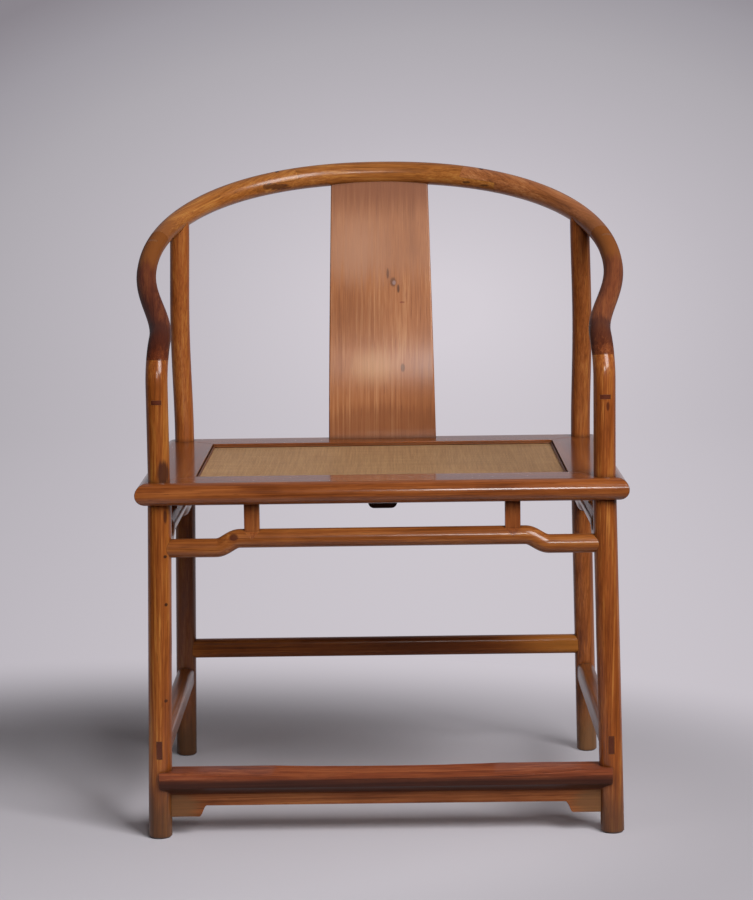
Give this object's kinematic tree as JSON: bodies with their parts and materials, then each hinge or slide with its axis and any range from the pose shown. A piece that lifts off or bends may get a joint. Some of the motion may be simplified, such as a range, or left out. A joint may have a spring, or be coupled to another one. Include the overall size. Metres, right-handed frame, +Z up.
{
  "type": "round-back armchair",
  "caption": "Wooden armchair with a sloping horseshoe crest rail that runs into the arms and front posts, a curved back splat, a mat seat and a footrest.",
  "frame": {"origin": "on the floor, under the middle of the chair's bounding box", "axes": "+Z up, -Y towards the chair's front, +X to the right of someone who faces its front; left and right in the node names are as seen from there"},
  "size_m": [0.7374, 0.6391, 0.9581],
  "materials": {
    "golden_hardwood": "polished hardwood, waxed, with fine vertical grain",
    "red_brown_hardwood": "polished hardwood, waxed, with fine vertical grain",
    "dark_hardwood": "polished hardwood, waxed, with fine vertical grain",
    "cane_mat": "fine woven cane"
  },
  "bodies": {
    "root": {"crest_rail_center": "golden_hardwood", "crest_rail_shoulder_left": "golden_hardwood", "crest_rail_shoulder_right": "golden_hardwood", "front_post_left": "golden_hardwood", "front_post_right": "golden_hardwood", "rear_post_left": "golden_hardwood", "rear_post_right": "golden_hardwood", "back_splat": "golden_hardwood", "front_hump_stretcher": "golden_hardwood", "rear_hump_stretcher": "golden_hardwood", "side_hump_stretcher_left": "golden_hardwood", "side_hump_stretcher_right": "golden_hardwood", "front_strut_left": "golden_hardwood", "front_strut_right": "golden_hardwood", "rear_strut_left": "golden_hardwood", "rear_strut_right": "golden_hardwood", "side_strut_left": "golden_hardwood", "side_strut_right": "golden_hardwood", "footrest_apron": "golden_hardwood", "seat_rail_front": "red_brown_hardwood", "seat_rail_rear": "red_brown_hardwood", "seat_rail_left": "red_brown_hardwood", "seat_rail_right": "red_brown_hardwood", "batten_front": "red_brown_hardwood", "batten_rear": "red_brown_hardwood", "batten_left": "red_brown_hardwood", "batten_right": "red_brown_hardwood", "side_stretcher_left": "red_brown_hardwood", "side_stretcher_right": "red_brown_hardwood", "rear_stretcher": "red_brown_hardwood", "crest_rail_arm_left": "dark_hardwood", "crest_rail_arm_right": "dark_hardwood", "footrest": "dark_hardwood", "seat_brace": "dark_hardwood", "post_wedge_left": "dark_hardwood", "post_wedge_right": "dark_hardwood", "rail_wedge_back_left": "dark_hardwood", "rail_wedge_back_right": "dark_hardwood", "rail_wedge_arm_left": "dark_hardwood", "rail_wedge_arm_right": "dark_hardwood", "seat_mat": "cane_mat"}
  },
  "joints": []
}
